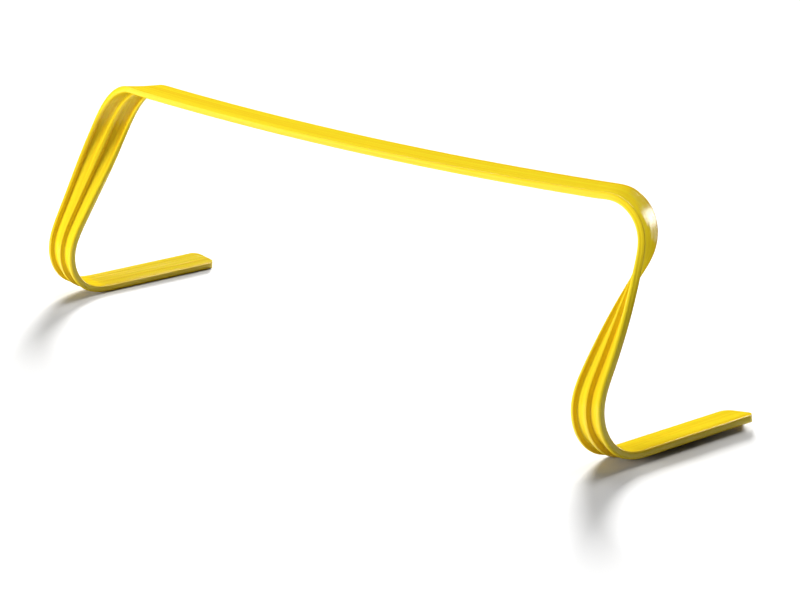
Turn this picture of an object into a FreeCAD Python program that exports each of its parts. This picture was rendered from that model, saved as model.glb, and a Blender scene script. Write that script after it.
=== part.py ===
import FreeCAD, Part
import Sketcher
import math
import os

# Speed hurdle: one length of extruded plastic strip with an E-shaped section, formed into a low arch.
# The crossbar ends in two shoulder bends, each leg twists on its way down, and two heel bends turn the
# strip back along the floor as feet. X runs along the crossbar, Y points back along the feet, Z is up,
# and the origin is on the floor, in the middle of the space that the hurdle covers.

SIZES = {
    "bar_height": 151.5,        # floor to the flat face at the ends of the crossbar
    "bar_span": 438.0,          # crossbar, straight across from one shoulder bend to the other
    "bar_bow": 5.0,             # how far the middle of the crossbar hangs below its ends
    "strip_width": 25.4,
    "strip_depth": 4.9,         # flat face to the rib tips
    "web_depth": 1.5,           # solid part of the section, under the flat face
    "rib_width": 3.0,
    "edge_round": 0.5,          # long edges of the flat face
    "outer_round": 1.7,         # outer edges of the two edge ribs
    "rib_round": 0.6,           # other edges of the rib tips
    "shoulder_radius": 31.0,    # at the strip's centre line, in the middle of the bend
    "shoulder_ease": 14.0,      # length over which the bend grows to that radius, and fades out again
    "heel_radius": 28.5,        # at the strip's centre line, in the middle of the bend
    "heel_ease": 24.0,          # length over which the bend grows to that radius, and fades out again
    "foot_length": 92.0,        # straight part behind the heel bend
    "foot_corner": 7.0,         # rounding of the foot's two end corners, seen from above
    "leg_lean": 31.5,           # degrees, the lower end of the leg standing forward of its top
    "foot_roll": 7.5,           # degrees, the outer edge of the foot standing off the floor
    "cut_overrun": 2.0,         # how far a cut reaches past the surface
}

# How many sections a formed span is drawn through, its two ends included, in how many small steps the strip
# is followed from one to the next, and how often the turns of a bend are made more exact.
SHOULDER_SECTION_COUNT = 13
LEG_SECTION_COUNT = 9
HEEL_SECTION_COUNT = 15
STEP_COUNT = 12
ROUND_COUNT = 8

doc = FreeCAD.newDocument("speed_hurdle")
sheet = doc.addObject("Spreadsheet::Sheet", "Sizes")
for row, (alias, value) in enumerate(SIZES.items(), start=1):
    sheet.set(f"A{row}", alias)
    sheet.set(f"B{row}", str(value))
    sheet.setAlias(f"B{row}", alias)
doc.recompute()

ACROSS = FreeCAD.Vector(1, 0, 0)
OUT_OF_FLAT = FreeCAD.Vector(0, 1, 0)
ALONG = FreeCAD.Vector(0, 0, 1)
UP = FreeCAD.Vector(0, 0, 1)


def size(alias):
    return float(getattr(sheet, alias))


# A place on the strip is a Placement whose x axis lies across the strip, whose y axis stands out of the
# flat face, and whose z axis runs along the strip, away from the middle of the crossbar. A span of the
# strip is its length, and two functions that give how far it has bent about x (away from the flat face)
# and twisted about z at a distance along it. The strip never bends in the plane of its own width.

def steady_step(length, bend, twist):
    """The move along a length of strip that bends and twists at a steady rate."""
    angle = math.hypot(bend, twist)
    if angle == 0:
        return FreeCAD.Placement(ALONG * length, FreeCAD.Rotation())
    axis = (ACROSS * bend + ALONG * twist) * (1 / angle)
    straight = math.sin(angle) / angle
    drop = (1 - math.cos(angle)) / angle
    move = ALONG * straight + axis * ((1 - straight) * axis.dot(ALONG)) + axis.cross(ALONG) * drop
    return FreeCAD.Placement(move * length, FreeCAD.Rotation(axis, math.degrees(angle)))


def eased_turn(turn, length, ease_in, ease_out):
    """A turn whose rate grows evenly from nothing over ease_in, holds, and fades out over ease_out."""
    rate = turn / (length - ease_in / 2 - ease_out / 2)

    def done(distance):
        left = length - distance
        if distance < ease_in:
            return rate * distance ** 2 / (2 * ease_in)
        if left < ease_out:
            return turn - rate * left ** 2 / (2 * ease_out)
        return rate * (distance - ease_in / 2)

    return done


def joined_turn(turn, length, first_rate, last_rate):
    """A turn that starts at the rate of the span before it and ends at the rate of the span after it."""
    first = first_rate * length
    last = last_rate * length

    def done(distance):
        share = distance / length
        return (
            first * share
            + (3 * turn - 2 * first - last) * share ** 2
            + (first + last - 2 * turn) * share ** 3
        )

    return done


def walk(start, span, section_count, side):
    """Places at even steps along a span. Side is 1 on the right, and -1 on the left to reverse the twist."""
    length, bend_at, twist_at = span
    step_count = (section_count - 1) * STEP_COUNT
    places = [start]
    for step in range(step_count):
        before = length * step / step_count
        after = length * (step + 1) / step_count
        bend = bend_at(after) - bend_at(before)
        twist = side * (twist_at(after) - twist_at(before))
        places.append(places[-1] * steady_step(after - before, bend, twist))
    return places[::STEP_COUNT]


def whole_move(span, section_count):
    """The move from the start of a span on the right to its end."""
    return walk(FreeCAD.Placement(), span, section_count, 1)[-1]


def middle_rotation(side):
    """How the strip lies at the middle of the crossbar, facing one side."""
    return FreeCAD.Rotation(UP, 90 * side) * FreeCAD.Rotation(ACROSS, 90)


def bow_radius():
    half_span = size("bar_span") / 2
    return (half_span ** 2 + size("bar_bow") ** 2) / (2 * size("bar_bow"))


def edge_rib_rounds():
    """The centres of the rounding at the outer corners of the two edge ribs."""
    half = size("strip_width") / 2 - size("outer_round")
    depth = size("strip_depth") / 2 - size("outer_round")
    return [ACROSS * half - OUT_OF_FLAT * depth, ACROSS * -half - OUT_OF_FLAT * depth]


def shoulder_span(bend, twist):
    """A shoulder bend. Its twist is at full rate where the leg takes it over."""
    ease = size("shoulder_ease")
    length = size("shoulder_radius") * bend + ease
    return length, eased_turn(bend, length, ease, ease), eased_turn(twist, length, ease, 0)


def heel_span(bend, twist):
    """A heel bend, over the flat face. It takes the leg's twist over and lets it fade out to the foot."""
    ease = size("heel_ease")
    length = size("heel_radius") * bend + ease
    return length, eased_turn(-bend, length, ease, ease), eased_turn(twist, length, 0, length)


def turns_down_the_leg(way_for, bend, twist):
    """The bend and the twist for which a way runs down the leg: a first guess, made more exact each round."""
    lean = math.radians(size("leg_lean"))
    forward_of_leg = FreeCAD.Vector(0, -math.cos(lean), math.sin(lean))
    nudge = 1e-5

    def miss(bend, twist):
        way = way_for(bend, twist)
        return way.x, way.dot(forward_of_leg)

    for _ in range(ROUND_COUNT):
        side_miss, front_miss = miss(bend, twist)
        side_by_bend, front_by_bend = [
            (after - before) / nudge
            for after, before in zip(miss(bend + nudge, twist), (side_miss, front_miss))
        ]
        side_by_twist, front_by_twist = [
            (after - before) / nudge
            for after, before in zip(miss(bend, twist + nudge), (side_miss, front_miss))
        ]
        scale = side_by_bend * front_by_twist - front_by_bend * side_by_twist
        bend -= (side_miss * front_by_twist - front_miss * side_by_twist) / scale
        twist -= (front_miss * side_by_bend - side_miss * front_by_bend) / scale
    return bend, twist


def strip_course():
    """The spans of the right half, and how high the middle of the crossbar lies."""
    bow_half = math.asin(size("bar_span") / 2 / bow_radius())
    bow = (bow_radius() * bow_half, -bow_half, 0)
    bar_end = FreeCAD.Placement(FreeCAD.Vector(), middle_rotation(1)) * steady_step(*bow)
    roll = FreeCAD.Rotation(ALONG, -size("foot_roll"))
    foot_start = FreeCAD.Placement(FreeCAD.Vector(), FreeCAD.Rotation(UP, 90) * middle_rotation(1) * roll)
    lean = math.radians(size("leg_lean"))

    def way_under_shoulder(bend, twist):
        leg_top = bar_end * whole_move(shoulder_span(bend, twist), SHOULDER_SECTION_COUNT)
        return leg_top.Rotation.multVec(ALONG)

    def way_into_heel(bend, twist):
        leg_end = foot_start * whole_move(heel_span(bend, twist), HEEL_SECTION_COUNT).inverse()
        return leg_end.Rotation.multVec(ALONG)

    shoulder_bend, shoulder_twist = turns_down_the_leg(way_under_shoulder, math.pi / 2, -lean)
    shoulder = shoulder_span(shoulder_bend, shoulder_twist)
    leg_top = bar_end * whole_move(shoulder, SHOULDER_SECTION_COUNT)
    heel_bend, heel_twist = turns_down_the_leg(way_into_heel, math.pi / 2 + lean, 0)
    heel = heel_span(heel_bend, heel_twist)
    leg_end = foot_start * whole_move(heel, HEEL_SECTION_COUNT).inverse()

    bar_flat = bar_end.multVec(OUT_OF_FLAT * (size("strip_depth") / 2))
    lowest = min(foot_start.multVec(centre).z for centre in edge_rib_rounds()) - size("outer_round")
    floor_drop = leg_end.Base.z - lowest
    fall = size("bar_height") - (bar_flat.z - leg_top.Base.z) - floor_drop
    length = fall / math.cos(lean)
    top_across = leg_top.Rotation.multVec(ACROSS)
    end_across = leg_end.Rotation.multVec(ACROSS)
    leg_way = leg_top.Rotation.multVec(ALONG)
    twist = math.atan2(top_across.cross(end_across).dot(leg_way), top_across.dot(end_across))
    first_rate = shoulder_twist / (shoulder[0] - size("shoulder_ease") / 2)
    last_rate = 2 * heel_twist / heel[0]
    leg = (length, lambda distance: 0, joined_turn(twist, length, first_rate, last_rate))
    return bow, shoulder, leg, heel, size("bar_height") - bar_flat.z


def half_strip(middle, side, spans):
    """The section places of one half: its shoulder bend, its leg and its heel bend."""
    bow, shoulder, leg, heel = spans
    bar_end = middle * steady_step(*bow)
    shoulder_places = walk(bar_end, shoulder, SHOULDER_SECTION_COUNT, side)
    leg_places = walk(shoulder_places[-1], leg, LEG_SECTION_COUNT, side)
    heel_places = walk(leg_places[-1], heel, HEEL_SECTION_COUNT, side)
    return shoulder_places, leg_places, heel_places


def centred_middle(spans, rise):
    """The crossbar's middle, with the origin midway between the heels' fronts and the tips of the feet."""
    middle = FreeCAD.Placement(UP * rise, middle_rotation(1))
    heel_places = half_strip(middle, 1, spans)[2]
    corners = [place.multVec(centre) for place in heel_places for centre in edge_rib_rounds()]
    front = min(corner.y for corner in corners) - size("outer_round")
    back = heel_places[-1].multVec(ALONG * size("foot_length")).y
    return FreeCAD.Vector(0, -(front + back) / 2, rise)


def new_body(label, place):
    body = doc.addObject("PartDesign::Body", label)
    body.Label = label
    body.Placement = place
    return body


def new_sketch(body, name, plane):
    sketch = body.newObject("Sketcher::SketchObject", name)
    origin_plane = next(item for item in body.Origin.OriginFeatures if item.Role == plane)
    sketch.AttachmentSupport = [(origin_plane, "")]
    sketch.MapMode = "FlatFace"
    return sketch


def bind(sketch, rule, expression):
    sketch.setExpression(f"Constraints[{sketch.addConstraint(rule)}]", expression)


def draw_section(body, name, place):
    """The strip's section: a flat face over two edge ribs and a centre rib, with two channels between."""
    half = size("strip_width") / 2
    rib = size("rib_width")
    top = size("strip_depth") / 2
    ceiling = top - size("web_depth")
    edge = size("edge_round")
    outer = size("outer_round")
    tip = size("rib_round")
    corners = [
        (half, top, edge), (-half, top, edge),
        (-half, -top, outer), (rib - half, -top, tip), (rib - half, ceiling, 0),
        (-rib / 2, ceiling, 0), (-rib / 2, -top, tip), (rib / 2, -top, tip), (rib / 2, ceiling, 0),
        (half - rib, ceiling, 0), (half - rib, -top, tip), (half, -top, outer),
    ]
    points = [FreeCAD.Vector(x, y, 0) for x, y, _ in corners]
    rounds = [radius for _, _, radius in corners]
    ways = [(points[(i + 1) % len(points)] - points[i]).normalize() for i in range(len(points))]

    sketch = new_sketch(body, name, "XY_Plane")
    sketch.AttachmentOffset = place
    for i, way in enumerate(ways):
        after = (i + 1) % len(points)
        sketch.addGeometry(Part.LineSegment(points[i] + way * rounds[i], points[after] - way * rounds[after]))
    arcs = {}
    for i, radius in enumerate(rounds):
        if radius:
            circle = Part.Circle(points[i] + (ways[i] - ways[i - 1]) * radius, ALONG, radius)
            start = math.atan2(-ways[i].y, -ways[i].x)
            arcs[i] = sketch.addGeometry(Part.ArcOfCircle(circle, start, start + math.pi / 2))

    rules = []
    for i in range(len(points)):
        before = (i - 1) % len(points)
        rules.append(Sketcher.Constraint("Vertical" if i % 2 else "Horizontal", i))
        if i in arcs:
            rules.append(Sketcher.Constraint("Tangent", before, 2, arcs[i], 1))
            rules.append(Sketcher.Constraint("Tangent", arcs[i], 2, i, 1))
        else:
            rules.append(Sketcher.Constraint("Coincident", before, 2, i, 1))
    rules.append(Sketcher.Constraint("Equal", arcs[0], arcs[1]))
    rules.append(Sketcher.Constraint("Equal", arcs[2], arcs[11]))
    rules += [Sketcher.Constraint("Equal", arcs[3], arcs[i]) for i in (6, 7, 10)]
    rules += [Sketcher.Constraint("Horizontal", a, 2, b, 1) for a, b in ((2, 6), (6, 10), (4, 8))]
    sketch.addConstraint(rules)
    bind(sketch, Sketcher.Constraint("Radius", arcs[0], edge), "Sizes.edge_round")
    bind(sketch, Sketcher.Constraint("Radius", arcs[2], outer), "Sizes.outer_round")
    bind(sketch, Sketcher.Constraint("Radius", arcs[3], tip), "Sizes.rib_round")
    bind(sketch, Sketcher.Constraint("DistanceY", -1, 1, 0, 1, top), "Sizes.strip_depth / 2")
    bind(sketch, Sketcher.Constraint("DistanceY", 2, 1, -1, 1, top), "Sizes.strip_depth / 2")
    bind(sketch, Sketcher.Constraint("DistanceY", 4, 1, 0, 1, top - ceiling), "Sizes.web_depth")
    bind(sketch, Sketcher.Constraint("DistanceX", 1, 1, -1, 1, half), "Sizes.strip_width / 2")
    bind(sketch, Sketcher.Constraint("DistanceX", -1, 1, 11, 1, half), "Sizes.strip_width / 2")
    bind(sketch, Sketcher.Constraint("DistanceX", 1, 1, 3, 1, rib), "Sizes.rib_width")
    bind(sketch, Sketcher.Constraint("DistanceX", 9, 1, 11, 1, rib), "Sizes.rib_width")
    bind(sketch, Sketcher.Constraint("DistanceX", 5, 1, -1, 1, rib / 2), "Sizes.rib_width / 2")
    bind(sketch, Sketcher.Constraint("DistanceX", -1, 1, 7, 1, rib / 2), "Sizes.rib_width / 2")
    return sketch


def crossbar(middle):
    """The top span: the section swept round the gentle bow that the bar hangs in."""
    to_bow_centre = FreeCAD.Placement(OUT_OF_FLAT * bow_radius(), FreeCAD.Rotation())
    body = new_body("crossbar", FreeCAD.Placement(middle, middle_rotation(1)) * to_bow_centre)
    section = draw_section(body, "crossbar_section", to_bow_centre.inverse())
    section.setExpression(
        "AttachmentOffset.Base.y", "-(Sizes.bar_span ^ 2 + 4 * Sizes.bar_bow ^ 2) / (8 * Sizes.bar_bow)"
    )
    bar = body.newObject("PartDesign::Revolution", "crossbar_bow")
    bar.Profile = section
    bar.ReferenceAxis = (next(item for item in body.Origin.OriginFeatures if item.Role == "X_Axis"), [""])
    bar.Midplane = True
    bar.setExpression(
        "Angle", "2 * asin(4 * Sizes.bar_span * Sizes.bar_bow / (Sizes.bar_span ^ 2 + 4 * Sizes.bar_bow ^ 2))"
    )
    return body


def formed_span(label, places):
    """A bent or twisted span, drawn through the section at each place."""
    body = new_body(label, places[0])
    from_start = places[0].inverse()
    sections = []
    for i, place in enumerate(places):
        sections.append(draw_section(body, f"{label}_section_{i}", from_start * place))
    loft = body.newObject("PartDesign::AdditiveLoft", f"{label}_loft")
    loft.Profile = sections[0]
    loft.Sections = sections[1:]
    return body


def foot(label, start):
    """The straight end of the strip, cut square, with its two end corners rounded."""
    body = new_body(label, start)
    length = body.newObject("PartDesign::Pad", f"{label}_length")
    length.Profile = draw_section(body, f"{label}_section", FreeCAD.Placement())
    length.setExpression("Length", "Sizes.foot_length")

    half = size("strip_width") / 2
    end = size("foot_length")
    corner = size("foot_corner")
    over = size("cut_overrun")
    cut = new_sketch(body, f"{label}_corner_cut", "XZ_Plane")
    for side in (1, -1):
        centre = FreeCAD.Vector(side * (half - corner), end - corner, 0)
        outline = [
            FreeCAD.Vector(centre.x, end, 0),
            FreeCAD.Vector(centre.x, end + over, 0),
            FreeCAD.Vector(side * (half + over), end + over, 0),
            FreeCAD.Vector(side * (half + over), centre.y, 0),
            FreeCAD.Vector(side * half, centre.y, 0),
        ]
        start_angle = 0 if side == 1 else math.pi / 2
        circle = Part.Circle(centre, ALONG, corner)
        arc = cut.addGeometry(Part.ArcOfCircle(circle, start_angle, start_angle + math.pi / 2))
        lines = [cut.addGeometry(Part.LineSegment(*pair)) for pair in zip(outline, outline[1:])]
        at_end, at_side = (2, 1) if side == 1 else (1, 2)
        cut.addConstraint(
            [Sketcher.Constraint("Coincident", a, 2, b, 1) for a, b in zip(lines, lines[1:])]
            + [Sketcher.Constraint("Vertical", line) for line in lines[0::2]]
            + [Sketcher.Constraint("Horizontal", line) for line in lines[1::2]]
            + [Sketcher.Constraint("Coincident", arc, at_end, lines[0], 1)]
            + [Sketcher.Constraint("Coincident", arc, at_side, lines[-1], 2)]
            + [Sketcher.Constraint("Vertical", arc, at_end, arc, 3)]
            + [Sketcher.Constraint("Horizontal", arc, at_side, arc, 3)]
        )
        inward = [(-1, 1), (arc, 3)]
        outward = [(arc, at_side), (lines[2], 1)]
        if side == -1:
            inward.reverse()
            outward.reverse()
        inset = Sketcher.Constraint("DistanceX", *inward[0], *inward[1], half - corner)
        reach = Sketcher.Constraint("DistanceX", *outward[0], *outward[1], over)
        from_start = Sketcher.Constraint("DistanceY", -1, 1, arc, 3, centre.y)
        bind(cut, inset, "Sizes.strip_width / 2 - Sizes.foot_corner")
        bind(cut, from_start, "Sizes.foot_length - Sizes.foot_corner")
        bind(cut, Sketcher.Constraint("Radius", arc, corner), "Sizes.foot_corner")
        bind(cut, reach, "Sizes.cut_overrun")
        bind(cut, Sketcher.Constraint("DistanceY", arc, at_end, lines[1], 1, over), "Sizes.cut_overrun")
    rounded = body.newObject("PartDesign::Pocket", f"{label}_corners")
    rounded.Profile = cut
    rounded.Type = "ThroughAll"
    rounded.Midplane = True
    return body


*half_spans, bar_rise = strip_course()
bar_middle = centred_middle(half_spans, bar_rise)
bodies = [crossbar(bar_middle)]
for side, side_name in ((-1, "left"), (1, "right")):
    start = FreeCAD.Placement(bar_middle, middle_rotation(side))
    shoulder_places, leg_places, heel_places = half_strip(start, side, half_spans)
    bodies.append(formed_span(f"{side_name}_shoulder_bend", shoulder_places))
    bodies.append(formed_span(f"{side_name}_leg", leg_places))
    bodies.append(formed_span(f"{side_name}_heel_bend", heel_places))
    bodies.append(foot(f"{side_name}_foot", heel_places[-1]))
doc.recompute()

for item in doc.Objects:
    if "Invalid" in item.State or "Error" in item.State:
        raise RuntimeError(f"{item.Label} failed: {item.State}")
for body in bodies:
    if body.Shape.isNull() or not body.Shape.isValid() or len(body.Shape.Solids) != 1:
        raise RuntimeError(f"{body.Label} is not one valid solid")

os.makedirs("parts", exist_ok=True)
for body in bodies:
    body.Shape.exportStep(f"parts/{body.Label}.step")
    print(f"{body.Label}: {body.Shape.Volume:.1f} mm3")
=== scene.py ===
import math

import bmesh
import bpy
from mathutils import Matrix, Vector


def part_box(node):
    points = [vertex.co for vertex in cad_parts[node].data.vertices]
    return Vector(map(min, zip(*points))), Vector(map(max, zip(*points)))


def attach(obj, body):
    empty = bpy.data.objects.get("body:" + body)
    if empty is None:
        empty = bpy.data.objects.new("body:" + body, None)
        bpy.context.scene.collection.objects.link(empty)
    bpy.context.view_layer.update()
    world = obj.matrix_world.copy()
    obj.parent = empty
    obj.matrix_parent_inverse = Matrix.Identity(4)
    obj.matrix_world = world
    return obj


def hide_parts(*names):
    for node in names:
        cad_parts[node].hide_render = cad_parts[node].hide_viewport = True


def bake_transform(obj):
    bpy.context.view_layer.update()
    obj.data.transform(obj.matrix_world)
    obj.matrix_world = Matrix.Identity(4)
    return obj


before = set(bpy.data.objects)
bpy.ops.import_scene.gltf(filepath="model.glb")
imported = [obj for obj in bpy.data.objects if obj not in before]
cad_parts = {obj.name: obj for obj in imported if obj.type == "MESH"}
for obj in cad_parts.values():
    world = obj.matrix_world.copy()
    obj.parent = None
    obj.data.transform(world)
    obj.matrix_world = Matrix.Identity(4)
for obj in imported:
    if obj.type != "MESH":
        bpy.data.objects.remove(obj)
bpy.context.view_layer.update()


# Crossbar: the top span of the strip, ribs down, hanging in a slight bow between the two shoulder bends.
# The strip is yellow thermoplastic, extruded with a flat face over two edge ribs and a centre rib. It is
# one unbroken length, heated and bent to shape; the spans modelled here meet where a bend starts or ends.
STRIP_WIDTH = 0.0254
STRIP_DEPTH = 0.0049
WEB_DEPTH = 0.0015
RIB_WIDTH = 0.003
FLAT_EDGE_ROUND = 0.0009
OUTER_RIB_ROUND = 0.0017    # the outer corner of each edge rib
RIB_TIP_ROUND = 0.0006
CHANNEL_ROUND = 0.0008
SINK_DEPTH = 0.00004        # the flat face dips a little over each rib, where the thick plastic shrank
SINK_WIDTH = 0.0016
FLAT_CUTS = 40              # points across the flat face, for the sink lines to dip at
ON_FLAT = 1e-6              # a point no further than this below the flat face lies on it
BAR_HEIGHT = 0.1515         # floor to the flat face at the ends of the bar
BAR_SPAN = 0.438
BAR_BOW = 0.005
BAR_PITCH = 0.006           # from one ring of the mesh to the next
SEAM_RING = 0.0001          # a last short ring, so that the shading runs on over the seam
STEPS_PER_RING = 4
CRISP_ANGLE = math.radians(40)


def steady_step(length, bend, twist):
    """The move along a length of strip that bends about its width and twists at a steady rate."""
    angle = math.hypot(bend, twist)
    along = Vector((0, 0, 1))
    if angle == 0:
        return Matrix.Translation(along * length)
    axis = Vector((bend, 0, twist)) / angle
    straight = math.sin(angle) / angle
    drop = (1 - math.cos(angle)) / angle
    move = along * straight + axis * ((1 - straight) * axis.z) + axis.cross(along) * drop
    return Matrix.Translation(move * length) @ Matrix.Rotation(angle, 4, axis)


def eased_turn(turn, length, ease_in=0, ease_out=0):
    """How far a turn has gone at a distance along a span; its rate grows and dies away over the eases."""
    rate = turn / (length - ease_in / 2 - ease_out / 2)

    def turned(distance):
        left = length - distance
        if distance < ease_in:
            return rate * distance ** 2 / (2 * ease_in)
        if left < ease_out:
            return turn - rate * left ** 2 / (2 * ease_out)
        return rate * (distance - ease_in / 2)

    return turned


def span_places(start, length, bend_at, twist_at, pitch):
    """(distance, place) at each ring of a span: x across the strip, y out of its flat face, z along it."""
    count = round(length / pitch)
    distances = [length * i / count for i in range(count + 1)]
    distances[1:1] = [SEAM_RING]
    distances[-1:-1] = [length - SEAM_RING]
    place = start
    places = [(0, start)]
    for before, after in zip(distances, distances[1:]):
        step = (after - before) / STEPS_PER_RING
        for i in range(STEPS_PER_RING):
            here = before + step * i
            there = here + step
            bend = bend_at(there) - bend_at(here)
            twist = twist_at(there) - twist_at(here)
            place = place @ steady_step(step, bend, twist)
        places.append((after, place))
    return places


def strip_mesh(places, first_along, side=1):
    """A bmesh of the strip's section, drawn flat and then extruded ring by ring through the places."""
    half = STRIP_WIDTH / 2
    top = STRIP_DEPTH / 2
    ceiling = top - WEB_DEPTH
    rib = RIB_WIDTH
    bm = bmesh.new()
    on_strip = bm.verts.layers.float_vector.new("on_strip")
    flat = [bm.verts.new((x, top, 0)) for x in (half, -half)]
    outline = []
    tips = []
    channel = []
    for left, right in ((-half, rib - half), (-rib / 2, rib / 2), (half - rib, half)):
        if left != -half:
            channel.append(bm.verts.new((left, ceiling, 0)))
            outline.append(channel[-1])
        rib_tip = [bm.verts.new((x, -top, 0)) for x in (left, right)]
        tips += rib_tip
        outline += rib_tip
        if right != half:
            channel.append(bm.verts.new((right, ceiling, 0)))
            outline.append(channel[-1])
    bm.faces.new(flat + outline)
    outer_tips = [tips.pop(0), tips.pop()]
    for corners, radius, segments in (
        (flat, FLAT_EDGE_ROUND, 7),
        (outer_tips, OUTER_RIB_ROUND, 9),
        (tips, RIB_TIP_ROUND, 5),
        (channel, CHANNEL_ROUND, 4),
    ):
        bmesh.ops.bevel(
            bm, geom=corners, offset=radius, offset_type="OFFSET", segments=segments, profile=0.5,
            affect="VERTICES", material=-1,
        )
    flat_edge = max(bm.edges, key=lambda edge: edge.calc_length())
    bmesh.ops.subdivide_edges(bm, edges=[flat_edge], cuts=FLAT_CUTS)
    for vert in bm.verts:
        if vert.co.y > top - ON_FLAT:
            for rib_centre in (-half + rib / 2, 0, half - rib / 2):
                vert.co.y -= SINK_DEPTH * math.exp(-((vert.co.x - rib_centre) / SINK_WIDTH) ** 2)
    for vert in bm.verts:
        vert[on_strip] = Vector((side * vert.co.x, vert.co.y, side * first_along))
    bmesh.ops.transform(bm, matrix=places[0][1], verts=bm.verts)
    rim = list(bm.edges)
    for (_, before), (distance, after) in zip(places, places[1:]):
        grown = bmesh.ops.extrude_edge_only(bm, edges=rim)["geom"]
        ring = [item for item in grown if isinstance(item, bmesh.types.BMVert)]
        bmesh.ops.transform(bm, matrix=after @ before.inverted(), verts=ring)
        for vert in ring:
            vert[on_strip].z = side * (first_along + distance)
        in_ring = set(ring)
        grown_edges = [item for item in grown if isinstance(item, bmesh.types.BMEdge)]
        rim = [edge for edge in grown_edges if in_ring.issuperset(edge.verts)]
    bmesh.ops.edgeloop_fill(bm, edges=rim)
    return bm


def strip_piece(name, bm, material):
    """Finishes a span of strip as an object with smooth faces and crisp cut ends."""
    bmesh.ops.recalc_face_normals(bm, faces=bm.faces)
    mesh = bpy.data.meshes.new(name)
    bm.to_mesh(mesh)
    bm.free()
    mesh.shade_smooth()
    mesh.set_sharp_from_angle(angle=CRISP_ANGLE)
    mesh.materials.append(material)
    piece = bpy.data.objects.new(name, mesh)
    bpy.context.scene.collection.objects.link(piece)
    return piece


PLASTIC_YELLOW = (0.935, 0.722, 0.022, 1)
PLASTIC_GOLD = (0.875, 0.56, 0.012, 1)
GOLD_UP_TO = 0.30           # the draw lines are gold up to here in the pattern
YELLOW_FROM = 0.58          # and yellow from here on
DRAW_LINE_SCALE = 420
DRAW_LINE_DETAIL = 6
DRAW_LINE_STRETCH = 0.006   # scale of the pattern along the strip, against across it
DRAW_LINE_RELIEF = 0.001
DRAW_LINE_STRENGTH = 0.8
PLASTIC_IOR = 1.49
PLASTIC_SHINE = 0.35
SHINE_FADE = (0.60, 0.70)   # how far edge-on the shine starts to die away, and is gone
PLASTIC_ROUGHNESS = (0.16, 0.28)


def yellow_strip_plastic():
    """Satin extruded plastic: fine draw lines run along the strip, in its colour, gloss and surface.

    Its shine dies away where it is seen edge-on, so that it keeps its colour over the white floor.
    """
    material = bpy.data.materials.new("yellow_strip_plastic")
    material.use_nodes = True
    nodes = material.node_tree.nodes
    links = material.node_tree.links
    shader = nodes["Principled BSDF"]
    shader.inputs["IOR"].default_value = PLASTIC_IOR
    shader.inputs["Specular IOR Level"].default_value = PLASTIC_SHINE   # where the link below is dropped
    edge_on = nodes.new("ShaderNodeLayerWeight")
    shine = nodes.new("ShaderNodeMapRange")
    shine.inputs["From Min"].default_value = SHINE_FADE[0]
    shine.inputs["From Max"].default_value = SHINE_FADE[1]
    shine.inputs["To Min"].default_value = PLASTIC_SHINE
    shine.inputs["To Max"].default_value = 0
    links.new(edge_on.outputs["Facing"], shine.inputs["Value"])
    links.new(shine.outputs["Result"], shader.inputs["Specular IOR Level"])

    strip_place = nodes.new("ShaderNodeAttribute")
    strip_place.attribute_name = "on_strip"
    stretched = nodes.new("ShaderNodeMapping")
    stretched.inputs["Scale"].default_value = (1, 1, DRAW_LINE_STRETCH)
    links.new(strip_place.outputs["Vector"], stretched.inputs["Vector"])

    draw_lines = nodes.new("ShaderNodeTexNoise")
    draw_lines.inputs["Scale"].default_value = DRAW_LINE_SCALE
    draw_lines.inputs["Detail"].default_value = DRAW_LINE_DETAIL
    links.new(stretched.outputs["Vector"], draw_lines.inputs["Vector"])
    colour = nodes.new("ShaderNodeValToRGB")
    gold, yellow = colour.color_ramp.elements
    gold.position = GOLD_UP_TO
    gold.color = PLASTIC_GOLD
    yellow.position = YELLOW_FROM
    yellow.color = PLASTIC_YELLOW
    links.new(draw_lines.outputs["Fac"], colour.inputs["Fac"])
    links.new(colour.outputs["Color"], shader.inputs["Base Color"])

    gloss = nodes.new("ShaderNodeMapRange")
    gloss.inputs["To Min"].default_value = PLASTIC_ROUGHNESS[0]
    gloss.inputs["To Max"].default_value = PLASTIC_ROUGHNESS[1]
    links.new(draw_lines.outputs["Fac"], gloss.inputs["Value"])
    links.new(gloss.outputs["Result"], shader.inputs["Roughness"])

    surface = nodes.new("ShaderNodeBump")
    surface.inputs["Strength"].default_value = DRAW_LINE_STRENGTH
    surface.inputs["Distance"].default_value = DRAW_LINE_RELIEF
    links.new(draw_lines.outputs["Fac"], surface.inputs["Height"])
    links.new(surface.outputs["Normal"], shader.inputs["Normal"])
    return material


strip_plastic = yellow_strip_plastic()
bow_radius = ((BAR_SPAN / 2) ** 2 + BAR_BOW ** 2) / (2 * BAR_BOW)
bow_half_angle = math.asin(BAR_SPAN / 2 / bow_radius)
bow_half_length = bow_radius * bow_half_angle
bar_low, bar_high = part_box("crossbar")
bar_middle_y = (bar_low.y + bar_high.y) / 2


def bar_middle(side):
    """The middle of the crossbar's centre line, looking along the bar to the right (1) or the left (-1)."""
    bar_end = steady_step(bow_half_length, -bow_half_angle, 0)
    end_flat = bar_end @ Vector((0, STRIP_DEPTH / 2, 0))
    lift = Matrix.Translation((0, bar_middle_y, BAR_HEIGHT - end_flat.y))
    return lift @ Matrix.Rotation(side * math.pi / 2, 4, "Z") @ Matrix.Rotation(math.pi / 2, 4, "X")


bar_start = bar_middle(1) @ steady_step(-bow_half_length, bow_half_angle, 0)
bar_length = 2 * bow_half_length
bar_places = span_places(
    bar_start, bar_length, eased_turn(-2 * bow_half_angle, bar_length), eased_turn(0, bar_length), BAR_PITCH
)
crossbar = strip_piece("crossbar_span", strip_mesh(bar_places, -bow_half_length), strip_plastic)
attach(crossbar, "crossbar")
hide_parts("crossbar")


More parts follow.
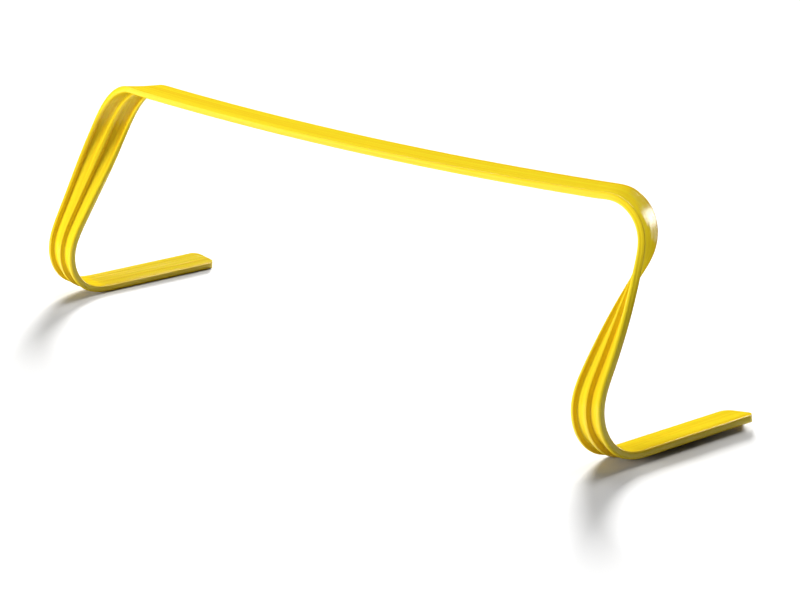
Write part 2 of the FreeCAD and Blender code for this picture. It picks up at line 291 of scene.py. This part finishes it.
# Shoulder bends: at each end of the bar the hot strip is bent down over its ribs and begins to twist, so
# that its flat face turns outwards. The bend is the spring that gives when a runner clips the bar.
SHOULDER_RADIUS = 0.031
SHOULDER_EASE = 0.014           # the bend tightens and opens out over this length
SHOULDER_BEND = math.radians(96.168)
SHOULDER_TWIST = math.radians(-54.428)
BEND_PITCH = 0.0013

shoulder_length = SHOULDER_RADIUS * SHOULDER_BEND + SHOULDER_EASE
shoulder_ends = {}
for side_name, side in (("left", -1), ("right", 1)):
    start = bar_middle(side) @ steady_step(bow_half_length, -bow_half_angle, 0)
    bend_at = eased_turn(SHOULDER_BEND, shoulder_length, SHOULDER_EASE, SHOULDER_EASE)
    twist_at = eased_turn(side * SHOULDER_TWIST, shoulder_length, SHOULDER_EASE)
    places = span_places(start, shoulder_length, bend_at, twist_at, BEND_PITCH)
    bend = strip_piece(
        f"{side_name}_shoulder_span", strip_mesh(places, bow_half_length, side), strip_plastic
    )
    shoulder_ends[side] = places[-1][1]
    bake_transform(bend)
    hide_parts(f"{side_name}_shoulder_bend")


# Legs: straight spans that lean forward on their way down. The strip goes on twisting in them, so that the
# ribs, which face inwards under the shoulder, face the runner at the floor.
LEG_LENGTH = 0.062862
LEG_TWIST = math.radians(-40.395)
LEG_PITCH = 0.002
HEEL_RADIUS = 0.0285
HEEL_EASE = 0.024
HEEL_BEND = math.radians(121.816)
HEEL_TWIST = math.radians(-13.572)


def joined_turn(turn, length, first_rate, last_rate):
    """How far a turn has gone at a distance along a span that starts and ends at its neighbours' rates."""
    first = first_rate * length
    last = last_rate * length

    def turned(distance):
        share = distance / length
        square = 3 * turn - 2 * first - last
        cube = first + last - 2 * turn
        return first * share + square * share ** 2 + cube * share ** 3

    return turned


heel_length = HEEL_RADIUS * HEEL_BEND + HEEL_EASE
shoulder_twist_rate = SHOULDER_TWIST / (shoulder_length - SHOULDER_EASE / 2)
heel_twist_rate = 2 * HEEL_TWIST / heel_length
leg_ends = {}
for side_name, side in (("left", -1), ("right", 1)):
    twist_at = joined_turn(
        side * LEG_TWIST, LEG_LENGTH, side * shoulder_twist_rate, side * heel_twist_rate
    )
    places = span_places(shoulder_ends[side], LEG_LENGTH, eased_turn(0, LEG_LENGTH), twist_at, LEG_PITCH)
    leg = strip_piece(
        f"{side_name}_leg_span",
        strip_mesh(places, bow_half_length + shoulder_length, side),
        strip_plastic,
    )
    leg_ends[side] = places[-1][1]
    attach(leg, f"{side_name}_leg")
    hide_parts(f"{side_name}_leg")


heel_ends = {}
for side_name, side in (("left", -1), ("right", 1)):
    start = leg_ends[side]
    bend_at = eased_turn(-HEEL_BEND, heel_length, HEEL_EASE, HEEL_EASE)
    twist_at = eased_turn(side * HEEL_TWIST, heel_length, 0, heel_length)
    places = span_places(start, heel_length, bend_at, twist_at, BEND_PITCH)
    bend = strip_piece(
        f"{side_name}_heel_span",
        strip_mesh(places, bow_half_length + shoulder_length + LEG_LENGTH, side),
        strip_plastic,
    )
    heel_ends[side] = places[-1][1]
    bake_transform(bend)
    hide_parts(f"{side_name}_heel_bend")


# Feet: the straight ends of the strip, lying back along the floor on their ribs. They are cut square, and
# the two corners of each end are rounded off so that they don't catch.
FOOT_LENGTH = 0.092
FOOT_CORNER = 0.007
CORNER_CUTS = 12
FOOT_PITCH = 0.006

for side_name, side in (("left", -1), ("right", 1)):
    start = heel_ends[side]
    places = span_places(
        start, FOOT_LENGTH, eased_turn(0, FOOT_LENGTH), eased_turn(0, FOOT_LENGTH), FOOT_PITCH
    )
    bm = strip_mesh(places, bow_half_length + shoulder_length + LEG_LENGTH + heel_length, side)
    for edge_side in (1, -1):
        for i in range(CORNER_CUTS):
            angle = math.pi / 2 * (i + 0.5) / CORNER_CUTS
            outward = Vector((edge_side * math.cos(angle), 0, math.sin(angle)))
            centre = Vector((edge_side * (STRIP_WIDTH / 2 - FOOT_CORNER), 0, FOOT_LENGTH - FOOT_CORNER))
            cut = bmesh.ops.bisect_plane(
                bm, geom=bm.verts[:] + bm.edges[:] + bm.faces[:],
                plane_co=start @ (centre + outward * FOOT_CORNER),
                plane_no=start.to_3x3() @ outward, clear_outer=True,
            )
            cut_edges = [item for item in cut["geom_cut"] if isinstance(item, bmesh.types.BMEdge)]
            bmesh.ops.edgeloop_fill(bm, edges=cut_edges)
    foot = strip_piece(f"{side_name}_foot_span", bm, strip_plastic)
    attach(foot, f"{side_name}_foot")
    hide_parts(f"{side_name}_foot")


# Floor: a plain matt white sweep on which the soft shadows fall. The eye, and anything shiny, sees it
# white; the light that it throws back onto the hurdle is that of a duller board.
FLOOR_SIZE = 40
FLOOR_WHITE = (0.55, 0.55, 0.55, 1)
FLOOR_BOUNCE = (0.3, 0.3, 0.3, 1)

bm = bmesh.new()
bmesh.ops.create_grid(bm, x_segments=1, y_segments=1, size=FLOOR_SIZE / 2)
floor_mesh = bpy.data.meshes.new("studio_floor")
bm.to_mesh(floor_mesh)
bm.free()
floor = bpy.data.objects.new("studio_floor", floor_mesh)
bpy.context.scene.collection.objects.link(floor)
white_floor = bpy.data.materials.new("white_floor")
white_floor.use_nodes = True
floor_nodes = white_floor.node_tree.nodes
floor_links = white_floor.node_tree.links
floor_nodes.remove(floor_nodes["Principled BSDF"])
floor_board = floor_nodes.new("ShaderNodeBsdfDiffuse")
light_path = floor_nodes.new("ShaderNodeLightPath")
board_colour = floor_nodes.new("ShaderNodeMix")
board_colour.data_type = "RGBA"
board_colour.inputs["A"].default_value = FLOOR_WHITE
board_colour.inputs["B"].default_value = FLOOR_BOUNCE
floor_links.new(light_path.outputs["Is Diffuse Ray"], board_colour.inputs["Factor"])
floor_links.new(board_colour.outputs["Result"], floor_board.inputs["Color"])
floor_links.new(floor_board.outputs["BSDF"], floor_nodes["Material Output"].inputs["Surface"])
floor_mesh.materials.append(white_floor)


# Studio light: one soft lamp high behind the hurdle, one low behind it for the shine on the right shoulder,
# and softboxes above on the left and in front; the front one gives no shine, which would wash out the bar
# from behind. A last lamp reaches only the floor, keeps it white and lays the longer shadow forward.
ROOM_GLOW = 0.06


def softbox(name, place, aim, width, power):
    """A square lamp of a width in metres and a power in watts, turned towards a point."""
    lamp = bpy.data.lights.new(name, "AREA")
    lamp.size = width
    lamp.energy = power
    box = bpy.data.objects.new(name, lamp)
    box.location = place
    box.rotation_euler = (Vector(aim) - Vector(place)).to_track_quat("-Z", "Y").to_euler()
    bpy.context.scene.collection.objects.link(box)
    return box


def soft_light(name, toward, spread, strength):
    """A far lamp that stands in a direction and looks a spread of degrees wide."""
    lamp = bpy.data.lights.new(name, "SUN")
    lamp.energy = strength
    lamp.angle = math.radians(spread)
    light = bpy.data.objects.new(name, lamp)
    light.rotation_euler = Vector(toward).to_track_quat("Z", "Y").to_euler()
    bpy.context.scene.collection.objects.link(light)
    return light


soft_light("back_light", toward=(-0.2, 0.62, 0.76), spread=22, strength=1.6)
soft_light("low_back_light", toward=(-0.10, 0.98, 0.10), spread=18, strength=1.4)
softbox("top_left_softbox", place=(-0.7, 0.3, 1.5), aim=(0, 0, 0.05), width=0.9, power=11.5)
front_softbox = softbox(
    "front_softbox", place=(-0.5, -1.8, 0.45), aim=(0, 0, 0.08), width=0.8, power=37
)
front_softbox.visible_glossy = False
floor_light = soft_light("floor_light", toward=(-0.68, 0.68, 0.28), spread=16, strength=15)
floor_only = bpy.data.collections.new("floor_only")
floor_only.objects.link(floor)
floor_light.light_linking.receiver_collection = floor_only

room = bpy.data.worlds.new("dim_room")
room.use_nodes = True
room_glow = room.node_tree.nodes["Background"]
room_glow.inputs["Color"].default_value = (1, 1, 1, 1)
room_glow.inputs["Strength"].default_value = ROOM_GLOW
bpy.context.scene.world = room
bpy.context.scene.view_settings.view_transform = "Standard"


# Camera: a long lens, a little above the bar and well round to the right of the front.
CAMERA_PLACE = (1.22560, -1.08585, 0.48846)
LENS_LENGTH = 115.46        # mm, over a sensor 36 mm wide
SENSOR_WIDTH = 36
AZIMUTH = math.radians(47.759)
ELEVATION = math.radians(15.407)
ROLL = math.radians(-0.465)

lens = bpy.data.cameras.new("photo_camera")
lens.sensor_width = SENSOR_WIDTH
lens.lens = LENS_LENGTH
camera = bpy.data.objects.new("photo_camera", lens)
camera.matrix_world = (
    Matrix.Translation(CAMERA_PLACE)
    @ Matrix.Rotation(AZIMUTH, 4, "Z")
    @ Matrix.Rotation(math.pi / 2 - ELEVATION, 4, "X")
    @ Matrix.Rotation(ROLL, 4, "Z")
)
bpy.context.scene.collection.objects.link(camera)
bpy.context.scene.camera = camera

bpy.context.view_layer.update()
